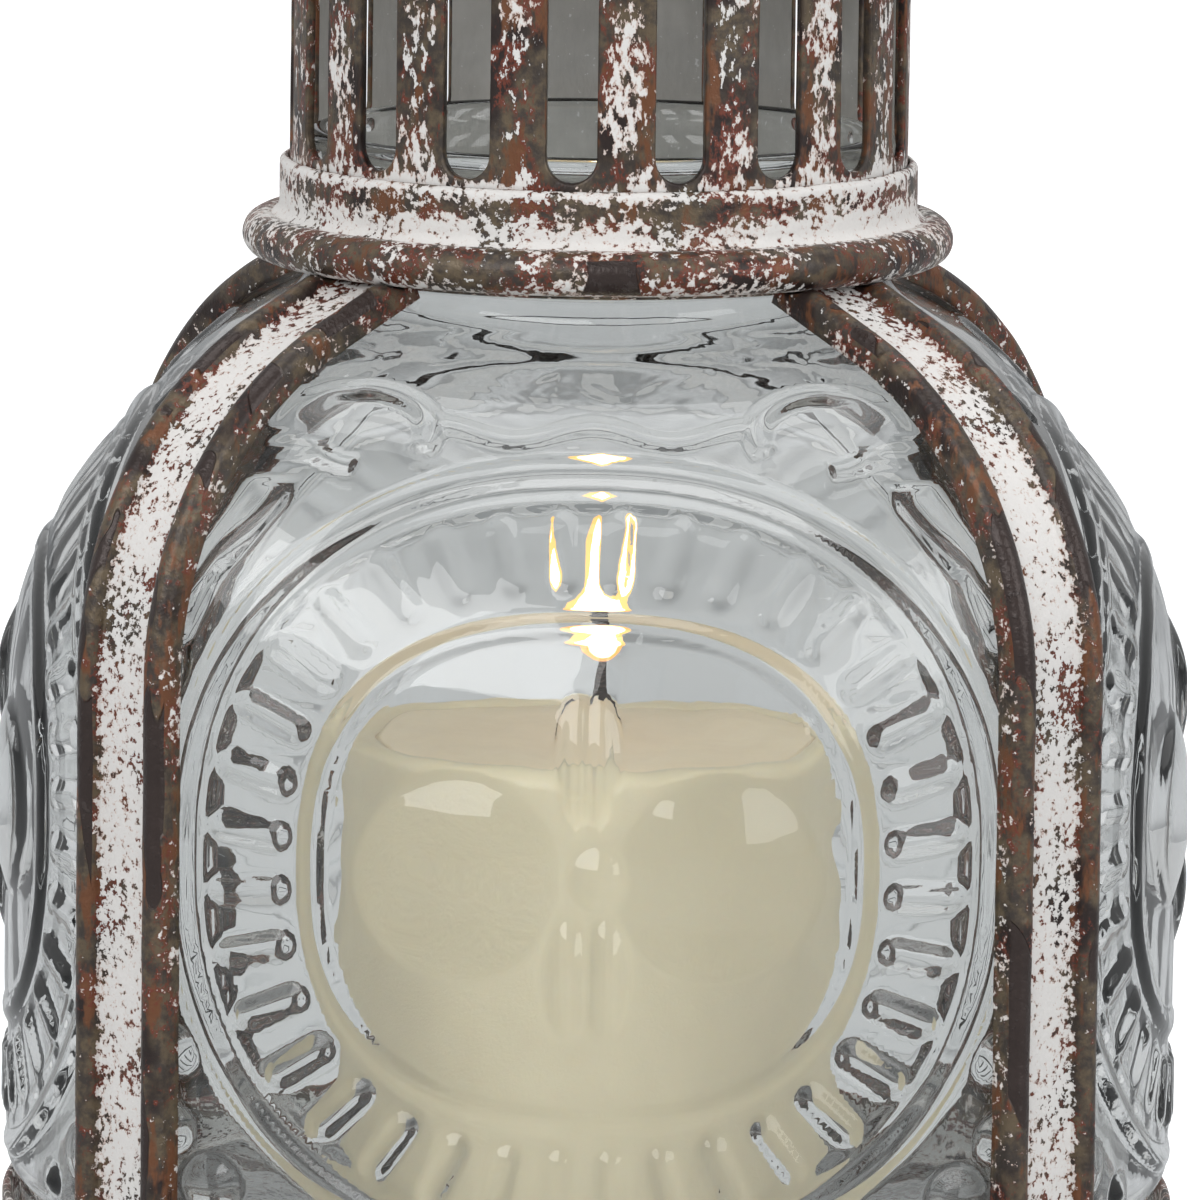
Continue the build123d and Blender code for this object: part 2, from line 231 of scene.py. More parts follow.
# ---------------------------------------------------------------- node helpers
class Nodes:
    """A short way to build a material's node tree."""

    def __init__(self, name):
        self.material = bpy.data.materials.new(name)
        self.material.use_nodes = True
        self.tree = self.material.node_tree
        self.tree.nodes.clear()
        self.output = self.tree.nodes.new("ShaderNodeOutputMaterial")

    def link(self, source, socket):
        if isinstance(source, bpy.types.NodeSocket):
            self.tree.links.new(source, socket)
        else:
            socket.default_value = source

    def add(self, kind, inputs=None, **settings):
        node = self.tree.nodes.new(kind)
        for key, value in settings.items():
            setattr(node, key, value)
        for key, value in (inputs or {}).items():
            self.link(value, node.inputs[key])
        return node

    def where(self, scale=(1, 1, 1)):
        place = self.add("ShaderNodeTexCoord").outputs["Object"]
        if scale == (1, 1, 1):
            return place
        return self.add("ShaderNodeMapping", {"Vector": place, "Scale": scale}).outputs[0]

    def noise(self, size, detail=2.0, rough=0.5, stretch=(1, 1, 1), distort=0.0):
        """Noise with features about size millimetres across."""
        inputs = {"Vector": self.where(stretch), "Scale": 1.0 / (size * MM), "Detail": detail, "Roughness": rough,
                  "Distortion": distort}
        return self.add("ShaderNodeTexNoise", inputs).outputs["Fac"]

    def math(self, operation, a, b=None, c=None, clamp=False):
        node = self.add("ShaderNodeMath", operation=operation, use_clamp=clamp)
        for socket, value in zip(node.inputs, (a, b, c)):
            if value is not None:
                self.link(value, socket)
        return node.outputs[0]

    def step(self, value, low, high):
        """0 below low, 1 above high, smooth between."""
        node = self.add("ShaderNodeMapRange", {"Value": value, "From Min": low, "From Max": high},
                        interpolation_type="SMOOTHSTEP")
        return node.outputs[0]

    def mix(self, factor, a, b):
        node = self.add("ShaderNodeMix", data_type="RGBA")
        self.link(factor, node.inputs[0])
        self.link(a, node.inputs[6])
        self.link(b, node.inputs[7])
        return node.outputs[2]

    def blend(self, factor, a, b):
        node = self.add("ShaderNodeMix", data_type="FLOAT")
        self.link(factor, node.inputs[0])
        self.link(a, node.inputs[2])
        self.link(b, node.inputs[3])
        return node.outputs[0]

    def attribute(self, name):
        return self.add("ShaderNodeAttribute", attribute_name=name).outputs["Fac"]

    def bump(self, height, distance_mm, strength=1.0, normal=None):
        inputs = {"Height": height, "Distance": distance_mm * MM, "Strength": strength}
        if normal is not None:
            inputs["Normal"] = normal
        return self.add("ShaderNodeBump", inputs).outputs[0]

    def principled(self, **inputs):
        shader = self.add("ShaderNodeBsdfPrincipled")
        for key, value in inputs.items():
            self.link(value, shader.inputs[key.replace("_", " ")])
        return shader.outputs[0]

    def finish(self, shader):
        self.tree.links.new(shader, self.output.inputs["Surface"])
        return self.material


def rgb(r, g, b):
    return (r, g, b, 1.0)


CHALK = rgb(0.735, 0.715, 0.695)
CHALK_PINK = rgb(0.58, 0.43, 0.37)
RUST = rgb(0.155, 0.036, 0.020)
UMBER = rgb(0.022, 0.013, 0.011)
DARK_METAL = rgb(0.047, 0.037, 0.031)
OLIVE_METAL = rgb(0.125, 0.092, 0.056)
BROWN_RUST = rgb(0.150, 0.058, 0.024)
CHIP_BROWN = rgb(0.045, 0.030, 0.026)


# ---------------------------------------------------------------- materials
def worn_paint(name, wear=None, stretch=(1, 1, 1), chip_stretch=(1, 1, 0.35)):
    """Chalky white paint over rusty dark metal, speckled everywhere.

    It is nearly bare where wear nears 1 and nearly whole where it nears 0. chip adds smooth dark chips.
    """
    n = Nodes(name)
    worn = n.attribute("wear") if wear is None else wear
    speck = n.noise(1.05, 3.0, 0.66, stretch)
    flake = n.noise(3.4, 3.0, 0.62, stretch)
    patch = n.noise(13.0, 2.0, 0.5)
    # how much paint is left: above 0.5 it covers
    left = n.math("MULTIPLY_ADD", worn, -1.15, 1.06)
    left = n.math("ADD", left, n.math("MULTIPLY_ADD", speck, 3.1, -1.55))
    left = n.math("ADD", left, n.math("MULTIPLY_ADD", flake, 1.1, -0.55))
    left = n.math("ADD", left, n.math("MULTIPLY_ADD", patch, 1.0, -0.5))
    cover = n.step(left, 0.44, 0.56)
    thin = n.step(left, 0.52, 0.80)
    rusty = n.math("MULTIPLY", n.step(left, 0.0, 0.36), n.step(n.noise(7.5, 3.0, 0.62), 0.46, 0.58))
    bare = n.mix(n.step(n.noise(2.6, 4.0, 0.65), 0.38, 0.64), DARK_METAL, OLIVE_METAL)
    bare = n.mix(n.step(n.noise(10.0, 2.0), 0.50, 0.62), bare, UMBER)
    bare = n.mix(n.step(n.noise(4.6, 4.0, 0.68, chip_stretch), 0.52, 0.62), bare, BROWN_RUST)
    bare = n.mix(rusty, bare, RUST)
    paint = n.mix(thin, n.mix(n.step(patch, 0.38, 0.6), CHALK, CHALK_PINK), CHALK)
    paint = n.mix(n.math("MULTIPLY", n.noise(0.55, 2.0, 0.7), 0.3), paint, rgb(0.50, 0.48, 0.45))
    colour = n.mix(cover, bare, paint)
    # long smooth chips, where paint and rust came off down to brown metal
    chip_field = n.noise(9.0, 1.5, 0.45, chip_stretch, 0.5)
    chip_field = n.math("ADD", chip_field, n.math("MULTIPLY_ADD", n.attribute("chip"), 0.5, -0.5))
    chip = n.step(chip_field, 0.535, 0.55)
    colour = n.mix(chip, colour, n.mix(flake, UMBER, CHIP_BROWN))
    rough = n.blend(cover, n.blend(speck, 0.26, 0.52), 0.85)
    rough = n.blend(chip, rough, 0.30)
    metal = n.math("MULTIPLY", n.math("SUBTRACT", 1.0, cover), 0.35)
    height = n.math("MULTIPLY_ADD", cover, 0.5, n.math("MULTIPLY", speck, 0.5))
    height = n.math("ADD", height, n.math("MULTIPLY", flake, 0.6))
    height = n.math("SUBTRACT", height, n.math("MULTIPLY", chip, 0.9))
    normal = n.bump(height, 0.36, 0.9)
    return n.finish(n.principled(Base_Color=colour, Roughness=rough, Metallic=metal, Normal=normal))


def dull_inside():
    """The unpainted inside of the chimney: grey, brushed and sooty."""
    n = Nodes("dull_galvanised")
    grain = n.noise(1.1, 4.0, 0.7, (1, 1, 0.35))
    cloud = n.noise(14.0, 3.0, 0.6)
    colour = n.mix(grain, rgb(0.42, 0.415, 0.395), rgb(0.58, 0.57, 0.545))
    colour = n.mix(n.step(cloud, 0.45, 0.7), colour, rgb(0.62, 0.61, 0.585))
    colour = n.mix(n.step(n.noise(0.7, 2.0), 0.68, 0.74), colour, rgb(0.75, 0.75, 0.75))
    return n.finish(n.principled(Base_Color=colour, Roughness=n.blend(grain, 0.6, 0.8), Metallic=0.0,
                                 Normal=n.bump(grain, 0.2, 0.6)))


def clear_glass():
    """Pressed glass. Lamps reach what is inside it: shadow rays pass nearly straight through."""
    n = Nodes("pressed_glass")
    film = n.noise(16.0, 3.0, 0.55)
    swirl = n.noise(9.0, 2.0, 0.5, (1, 1, 0.5), 0.8)
    haze = n.blend(n.step(film, 0.35, 0.8), 0.0, 0.035)
    glass = n.principled(Base_Color=rgb(0.955, 0.965, 0.958), Roughness=haze, IOR=1.5,
                         Transmission_Weight=1.0, Normal=n.bump(swirl, 0.12, 0.30))
    clear = n.add("ShaderNodeBsdfTransparent", {"Color": rgb(0.90, 0.92, 0.93)}).outputs[0]
    lamp = n.add("ShaderNodeLightPath").outputs["Is Shadow Ray"]
    both = n.add("ShaderNodeMixShader")
    n.link(lamp, both.inputs[0])
    n.link(glass, both.inputs[1])
    n.link(clear, both.inputs[2])
    return n.finish(both.outputs[0])


def wax(name, low, high, rough, scatter, relief):
    n = Nodes(name)
    cloud = n.noise(7.0, 4.0, 0.6)
    grain = n.noise(0.6, 2.0, 0.6)
    colour = n.mix(cloud, low, high)
    shader = n.principled(Base_Color=colour, Roughness=n.blend(grain, rough - 0.08, rough + 0.1), IOR=1.44,
                          Subsurface_Weight=scatter, Subsurface_Radius=(1.0, 0.7, 0.4), Subsurface_Scale=0.006,
                          Normal=n.bump(n.math("ADD", n.math("MULTIPLY", cloud, 0.6), grain), relief, 0.5))
    return n.finish(shader)


def charred_wick():
    n = Nodes("charred_cotton")
    braid = n.add("ShaderNodeTexWave", {"Vector": n.where(), "Scale": 520.0, "Distortion": 6.0, "Detail": 3.0},
                  bands_direction="Z").outputs["Fac"]
    colour = n.mix(braid, rgb(0.006, 0.005, 0.005), rgb(0.05, 0.035, 0.028))
    return n.finish(n.principled(Base_Color=colour, Roughness=n.blend(braid, 0.7, 0.95),
                                 Normal=n.bump(braid, 0.25, 0.8)))


def flame_light(name, foot, middle, tip, strength, share):
    """Glow that changes from foot to tip. share is how much of what is behind the flame it hides."""
    n = Nodes(name)
    height = n.add("ShaderNodeSeparateXYZ", {"Vector": n.where()}).outputs["Z"]
    level = n.step(height, (FLAME_LOW + 0.4) * MM, (FLAME_TOP - 0.3) * MM)
    waver = n.math("MULTIPLY_ADD", n.noise(4.0, 2.0), 0.2, -0.1)
    level = n.math("ADD", level, waver)
    colour = n.mix(n.step(level, 0.0, 0.3), foot, middle)
    colour = n.mix(n.step(level, 0.65, 1.0), colour, tip)
    glow = n.add("ShaderNodeEmission", {"Color": colour, "Strength": strength}).outputs[0]
    through = n.add("ShaderNodeBsdfTransparent").outputs[0]
    both = n.add("ShaderNodeMixShader")
    n.link(share, both.inputs[0])
    n.link(through, both.inputs[1])
    n.link(glow, both.inputs[2])
    return n.finish(both.outputs[0])


def plain_steel(name, low, high, rough):
    n = Nodes(name)
    brushed = n.noise(0.8, 3.0, 0.6, (1, 1, 0.3))
    spots = n.step(n.noise(3.0, 3.0, 0.6), 0.55, 0.7)
    colour = n.mix(spots, n.mix(brushed, low, high), UMBER)
    return n.finish(n.principled(Base_Color=colour, Roughness=n.blend(brushed, rough - 0.1, rough + 0.15),
                                 Metallic=0.85, Normal=n.bump(brushed, 0.12, 0.5)))


def foot_rubber():
    n = Nodes("foot_rubber")
    grain = n.noise(0.5, 3.0, 0.7)
    return n.finish(n.principled(Base_Color=n.mix(grain, rgb(0.012, 0.012, 0.012), rgb(0.035, 0.034, 0.033)),
                                 Roughness=n.blend(grain, 0.7, 0.9), Normal=n.bump(grain, 0.15, 0.6)))


# ---------------------------------------------------------------- pressed pattern of the jar's four panels
PANEL_Z = 76.0
RING_OUT = (55.0, 52.0, 2.3)                  # half width, half height, roundness
RING_IN = (36.7, 33.0, 2.5)
FLUTE_LINE = (45.4, 42.4, 2.4)
FLUTE_COUNT = 36
# (distance from the panel's middle line, height, radius)
BERRIES = ((55.5, 49, 3.6), (56, 38, 3.2), (50, 31, 3.8), (57, 27, 3.0), (41, 25.5, 2.6), (57.5, 60, 2.4))


def dome(distance, radius):
    """1 in the middle, falling to 0 at the radius."""
    return np.clip(1 - (distance / radius) ** 2, 0, 1)


def oval_distance(x, z, oval):
    """How far a point is outside a rounded oval, in mm: below 0 inside it."""
    half_w, half_h, power = oval
    reach = (np.abs(x / half_w) ** power + np.abs(z / half_h) ** power) ** (1 / power)
    return (reach - 1) * np.hypot(x, z) / np.maximum(reach, 1e-3)


def bar(x, z, centre, direction, half_length, radius):
    """A round-ended bar that lies along a direction."""
    dx, dz = x - centre[0], z - centre[1]
    t = np.clip(dx * direction[0] + dz * direction[1], -half_length, half_length)
    return dome(np.hypot(dx - t * direction[0], dz - t * direction[1]), radius)


def flutes(x, z):
    """Short bars that point outwards all round the medallion, weaker towards the top."""
    total = np.zeros_like(x)
    half_w, half_h, power = FLUTE_LINE
    for index in range(FLUTE_COUNT):
        a = TAU * (index + 0.5) / FLUTE_COUNT
        direction = (math.cos(a), math.sin(a))
        reach = (abs(direction[0] / half_w) ** power + abs(direction[1] / half_h) ** power) ** (-1 / power)
        centre = (direction[0] * reach, direction[1] * reach)
        firm = 0.30 + 0.70 * min(1.0, max(0.0, 1.25 - 1.7 * direction[1]))
        total = np.maximum(total, firm * bar(x, z, centre, direction, 3.4, 2.1))
    return total


def scrolls(x, z):
    """Under the neck: a C scroll on each side, a leaf beside it and a low wavy line between. z is a real height."""
    side = np.abs(x)
    u, v = (side - 30.5) / 8.6, (z - 132.6) / 4.6
    reach = np.hypot(u, v)
    turn = np.degrees(np.arctan2(v, u))
    curl = dome((reach - 1) * 5.0, 1.25) * ((turn > -80) | (turn < -150))
    leaf = bar(side, z, (47.0, 119.5), (-0.66, 0.75), 6.5, 2.3)
    leaf = np.maximum(leaf, bar(side, z, (54.0, 110.0), (-0.45, 0.89), 4.5, 1.9))
    wave = dome(z - 132.4 - 0.9 * np.cos(x * TAU / 21.0), 1.3) * (side < 20.5)
    return np.maximum(np.maximum(0.6 * curl, 0.7 * leaf), 0.28 * wave)


def corner_berries(x, z):
    """Round berries in the lower corners of a panel and one on each side."""
    side = np.abs(x)
    total = np.zeros_like(x)
    for berry_x, berry_z, radius in BERRIES:
        total = np.maximum(total, dome(np.hypot(side - berry_x, z - berry_z), radius))
    return total


def quatrefoil(x, z):
    """The medallion's flower: two round lobes, two pairs of narrow petals and a boss."""
    lobes = dome(np.hypot(np.abs(x) - 17.2, z + 0.6), 13.8)
    petal_up = dome(np.hypot((np.abs(x) - 1.5) / 2.6, (z - 14.5) / 9.5), 1.0)
    petal_down = dome(np.hypot((np.abs(x) - 2.6) / 3.2, (z + 13.5) / 8.5), 1.0)
    boss = dome(np.hypot(x - 1.6, z + 0.2), 4.4)
    return np.maximum.reduce([2.3 * lobes, 1.5 * petal_up, 1.6 * petal_down, 1.5 * boss])


def pattern_height(x, height):
    """How far the pressed pattern stands out of a panel, in mm."""
    z = height - PANEL_Z
    out, inner = oval_distance(x, z, RING_OUT), oval_distance(x, z, RING_IN)
    total = 0.85 * dome(out, 2.0)
    total = np.maximum(total, 0.25 * dome(out + 3.6, 1.2))
    total = np.maximum(total, 0.75 * dome(inner, 1.8))
    total = np.maximum(total, 0.9 * flutes(x, z))
    total = np.maximum(total, 1.0 * scrolls(x, height) * (height > 105))
    total = np.maximum(total, 1.1 * corner_berries(x, height))
    total = np.maximum(total, quatrefoil(x, z) * (inner < -2.5))
    plateau = 0.5 * np.clip(-inner / 2.2, 0, 1)
    return total + plateau


def build_jar(material):
    """The jar as one closed skin: outside from foot to neck, over the rim, and down the inside to the floor."""
    side_count, corner_count = 150, 12
    body = catmull(JAR_PROFILE, 0.8)
    heel = [
        (JAR_BOTTOM + HEEL_R * (1 - math.cos(a)), HEEL_HALF - HEEL_R * (1 - math.sin(a)),
         HEEL_CORNER - HEEL_R * (1 - math.sin(a))) for a in np.radians(np.linspace(0, 90, 8))
    ]
    foot = [(JAR_BOTTOM, s, s * 1.06) for s in (4.0, 30.0, 60.0)]
    rise = [(19.5, HEEL_HALF, HEEL_CORNER), (20.6, HEEL_HALF + 0.4, HEEL_CORNER + 0.4),
            (22.4, 81.3, 86.0), (23.2, 81.6, 86.3)]
    outer_rows = np.vstack([foot, heel, rise, body])
    points, lateral = sectioned(outer_rows, side_count, corner_count)
    normals = grid_normals(points)
    height = points[:, :, 2]
    raised = pattern_height(lateral, height)
    fade = np.clip((height - 23.5) / 2.0, 0, 1) * np.clip((144.0 - height) / 3.0, 0, 1)
    flat = points.reshape(-1, 3)
    waves = ripple(flat, 26.0, 0.12, 11).reshape(height.shape) * np.clip((height - 20) / 8, 0, 1)
    points = points + normals * ((raised * fade + waves * np.clip((128 - height) / 12, 0, 1))[:, :, None])
    columns = points.shape[1]
    angle = np.arctan2(points[-1, :, 1], points[-1, :, 0])
    neck = [(40.1, 149.0), (NECK_R, 151.0), (NECK_R, 160.0), (NECK_R, 163.2), (40.7, 164.2), (40.9, 165.2),
            (40.6, 166.4), (39.8, 167.2), (38.8, NECK_RIM_Z), (37.9, 167.2), (37.3, 166.4), (37.2, 165.0),
            (37.2, 158.0), (37.2, 150.0), (37.4, 146.2)]
    neck_rows = np.array([[(r * math.cos(a), r * math.sin(a), z) for a in angle] for r, z in neck])
    inner_rows = []
    for z, half, corner in catmull(JAR_PROFILE, 2.6)[::-1]:
        lean = min(1.0, max(0.0, (z - 87.0) / 29.0))
        inset = WALL - 1.2 * lean
        inner_rows.append((z - 3.0 * lean, half - inset, corner - inset))
    inner_rows = inner_rows[1:]
    half, corner = JAR_PROFILE[0][1] - WALL, JAR_PROFILE[0][2] - WALL
    well = [
        (JAR_FLOOR + HEEL_R * (1 - math.cos(a)), half - HEEL_R * (1 - math.sin(a)),
         corner - HEEL_R * (1 - math.sin(a))) for a in np.radians(np.linspace(90, 0, 8))
    ]
    floor = [(JAR_FLOOR, s, s * 1.06) for s in (60.0, 30.0, 4.0)]
    inside, _ = sectioned(np.vstack([inner_rows, well, floor]), side_count, corner_count)
    inward = ripple(inside.reshape(-1, 3), 24.0, 0.14, 5).reshape(inside.shape[:2])
    inward *= np.clip((inside[:, :, 2] - 20) / 10, 0, 1) * np.clip((122 - inside[:, :, 2]) / 12, 0, 1)
    centre_dir = inside[:, :, :2] / np.maximum(np.linalg.norm(inside[:, :, :2], axis=2, keepdims=True), 1)
    inside[:, :, :2] += centre_dir * inward[:, :, None]
    grid = np.vstack([points, neck_rows, inside])
    rows = len(grid)
    flat = np.vstack([grid.reshape(-1, 3), [(0, 0, JAR_BOTTOM), (0, 0, JAR_FLOOR)]])
    faces = grid_faces(rows, columns)
    low, top = len(flat) - 2, len(flat) - 1
    last = (rows - 1) * columns
    faces += [(low, (c + 1) % columns, c) for c in range(columns)]
    faces += [(top, last + c, last + (c + 1) % columns) for c in range(columns)]
    return make_piece("glass_jar_pressed", flat, faces, material, "base", "clear_glass", ["glass_jar"])


# ---------------------------------------------------------------- straps
def strap_outline():
    """The strap's closed section as (u, v, wear): beads at both edges, a low web between."""
    outer = []
    for side in (-1, 1):
        half = [(8.5 * side, LEG_V, 0.72), (8.5 * side, 0.2, 0.78), (8.5 * side, 1.2, 0.82)]
        for a in np.linspace(0, 180, 15):
            u = side * (BEAD_U + BEAD_R * math.cos(math.radians(a)))
            v = BEAD_V + BEAD_R * math.sin(math.radians(a))
            half.append((u, v, 0.86 + 0.12 * math.sin(math.radians(a)) - (0.35 if a > 160 else 0)))
        half += [(side * 4.62, 1.62, 0.42), (side * 4.35, 1.52, 0.34), (side * 3.4, 1.5, 0.29),
                 (side * 2.2, 1.5, 0.26), (side * 0.9, 1.5, 0.24)]
        outer.append(half)
    ridge = outer[0] + outer[1][::-1]
    inside = []
    for u, v, _ in ridge[::-1]:
        if abs(u) > 4.7:
            bead = np.array([math.copysign(BEAD_U, u), BEAD_V])
            away = np.array([u, v]) - bead
            if v < BEAD_V:
                inside.append((u - math.copysign(STRAP_T, u), v, 0.8))
            else:
                away *= (BEAD_R - STRAP_T) / BEAD_R
                inside.append((bead[0] + away[0], bead[1] + away[1], 0.8))
        else:
            inside.append((u, WEB_V, 0.8))
    return np.array(ridge + inside)


def strap_stations(spacing=1.1):
    """(radius, height, direction turned from vertical) along the strap's glass side."""
    centre = (STRAP_LINE - STRAP_ARC_R, STRAP_ARC_Z)
    stations = [(STRAP_LINE, z, 0.0) for z in np.arange(STRAP_LOW, STRAP_ARC_Z, spacing)]
    for a in np.arange(0.0, STRAP_TURN, spacing / STRAP_ARC_R):
        stations.append((centre[0] + STRAP_ARC_R * math.cos(a), centre[1] + STRAP_ARC_R * math.sin(a), a))
    r = centre[0] + STRAP_ARC_R * math.cos(STRAP_TURN)
    z = centre[1] + STRAP_ARC_R * math.sin(STRAP_TURN)
    run = (r - STRAP_END) / math.sin(STRAP_TURN)
    for t in np.linspace(0, run, round(run / spacing) + 1):
        stations.append((r - t * math.sin(STRAP_TURN), z + t * math.cos(STRAP_TURN), STRAP_TURN))
    return stations


def build_strap(name, azimuth, material, seed):
    outline = strap_outline()
    rows = []
    for r, z, turn in strap_stations():
        radial = r + outline[:, 1] * math.cos(turn)
        rows.append(np.column_stack([radial, outline[:, 0], z + outline[:, 1] * math.sin(turn)]))
    points = np.array(rows)
    count, around = points.shape[:2]
    flat = points.reshape(-1, 3)
    # cut short of the lid's roll
    gap = ROLL[2] + ROLL_GAP
    reach = np.hypot(flat[:, 0], flat[:, 1])
    off = np.column_stack([reach - ROLL[0], flat[:, 2] - ROLL[1]])
    distance = np.linalg.norm(off, axis=1)
    near = distance < gap
    off[near] *= (gap / distance[near])[:, None]
    scale = (ROLL[0] + off[:, 0]) / reach
    flat[:, 0] = np.where(near, flat[:, 0] * scale, flat[:, 0])
    flat[:, 1] = np.where(near, flat[:, 1] * scale, flat[:, 1])
    flat[:, 2] = np.where(near, ROLL[1] + off[:, 1], flat[:, 2])
    # and kept below the lid's ledge
    inward = np.hypot(flat[:, 0], flat[:, 1]) < ROLL[0]
    flat[:, 2] = np.where(inward, np.minimum(flat[:, 2], LEDGE_Z - ROLL_GAP), flat[:, 2])
    # hand-worked unevenness, away from the glass
    dents = ripple(flat + seed * 37.0, 12.0, 0.13, seed) * (flat[:, 2] < 144)
    flat[:, 0] += np.maximum(dents, -0.1)
    turn = Matrix.Rotation(math.radians(azimuth), 3, "Z")
    flat = flat @ np.array(turn).T
    faces = grid_faces(count, around)
    faces.append(tuple(range(around))[::-1])
    faces.append(tuple((count - 1) * around + c for c in range(around)))
    wear = np.tile(outline[:, 2], count)
    ripples = ripple(flat, 17.0, 0.10, seed + 40)
    crest = np.tile((outline[:, 1] > 1.7) & (np.abs(outline[:, 0]) > 5.0), count)
    piece = make_piece("strap_" + name, flat, faces, material, "base", "white_paint", ["corner_strap_" + name],
                       wear=np.clip(wear + ripples, 0, 1), chip=0.96 * crest)
    recalc_normals(piece)
    return piece


# ---------------------------------------------------------------- lid
def build_collar(material):
    centre = ROLL[:2]
    inner = BAND_R - SHEET
    outline = [(LEDGE_IN, LEDGE_Z), (43.2, LEDGE_Z)]
    outline += arc(centre, ROLL[2], -148, 104, 40)
    outline += arc((BAND_R + 1.9, centre[1] + ROLL[2] + 1.5), 1.9, 248, 180, 8)
    outline += [(BAND_R, z) for z in np.linspace(158.2, BAND_TOP - 1.3, 6)]
    outline += arc((BAND_R - 1.0, BAND_TOP - 1.0), 1.0, 12, 90, 7)
    outline += [(inner + 0.05, BAND_TOP - 0.05), (inner, BAND_TOP - 0.4), (inner, 157.0), (inner, LEDGE_Z + SHEET),
                (LEDGE_IN, LEDGE_Z + SHEET)]
    outline = np.array(outline)
    segments = 420
    points, faces = revolve(outline, segments, 0.10, 15.0, 3)
    crest = np.arctan2(outline[:, 1] - centre[1], outline[:, 0] - centre[0])
    on_roll = np.hypot(outline[:, 0] - centre[0], outline[:, 1] - centre[1]) < ROLL[2] + 0.2
    wear = np.where(on_roll, 0.34 + 0.34 * np.clip(np.cos(crest - 0.25), 0, 1) ** 0.8, 0.34)
    wear = np.where(on_roll & (crest < -0.8), 0.40, wear)
    upper = (~on_roll) & (outline[:, 0] > inner + 0.5)
    wear = np.where(upper, 0.26 + 0.52 * np.exp(-((outline[:, 1] - 160.7) / 1.5) ** 2), wear)
    wear = np.where(upper & (outline[:, 1] > 162.6), 0.22, wear)
    wear = np.where(upper & (outline[:, 1] < 157.6), 0.16, wear)
    wear = np.where(outline[:, 0] < inner + 0.4, 0.85, wear)
    wear = np.repeat(wear, segments)
    wear = np.clip(wear + ripple(points, 30.0, 0.26, 21), 0, 1)
    # two places where the roll has chipped: at the front, and behind on the left
    azimuth = np.degrees(np.arctan2(points[:, 1], points[:, 0]))
    near_front = np.clip(1.25 - np.abs(azimuth + 89.6) / 9.5, 0, 1)
    behind = np.clip(1.25 - np.abs(azimuth - 152.0) / 8.0, 0, 1)
    low_roll = np.repeat(on_roll & (crest > -1.1) & (crest < 0.75), segments)
    chip = np.maximum(near_front, behind) * low_roll * 1.15 + 0.30 * np.repeat(on_roll, segments)
    piece = make_piece("collar_band", points, faces, material, "lid", "white_paint", ["lid_collar"],
                       wear=wear, chip=chip)
    recalc_normals(piece)
    return piece


def slot_contour(per_end, per_side):
    """Points round one slot, as (s, z, outward s, outward z), starting at the right of the lower end."""
    half = SLOT_W / 2
    low, high = SLOT_LOW + half, SLOT_HIGH - half
    contour = []
    for a in np.radians(np.linspace(0, -180, per_end, endpoint=False)):
        contour.append((half * math.cos(a), low + half * math.sin(a), math.cos(a), math.sin(a)))
    for z in np.linspace(low, high, per_side, endpoint=False):
        contour.append((-half, z, -1.0, 0.0))
    for a in np.radians(np.linspace(180, 0, per_end, endpoint=False)):
        contour.append((half * math.cos(a), high + half * math.sin(a), math.cos(a), math.sin(a)))
    for z in np.linspace(high, low, per_side, endpoint=False):
        contour.append((half, z, 1.0, 0.0))
    return contour


def sector_edge(point, half_pitch):
    """Where a line out of the slot through a contour point meets the edge of its sector of the tube."""
    s, z, ds, dz = point
    reaches = []
    if abs(ds) > 1e-6:
        reaches.append(((half_pitch if ds > 0 else -half_pitch) - s) / ds)
    if abs(dz) > 1e-6:
        reaches.append(((TUBE_TOP if dz > 0 else TUBE_LOW) - z) / dz)
    t = min(reach for reach in reaches if reach > 0)
    return s + ds * t, z + dz * t


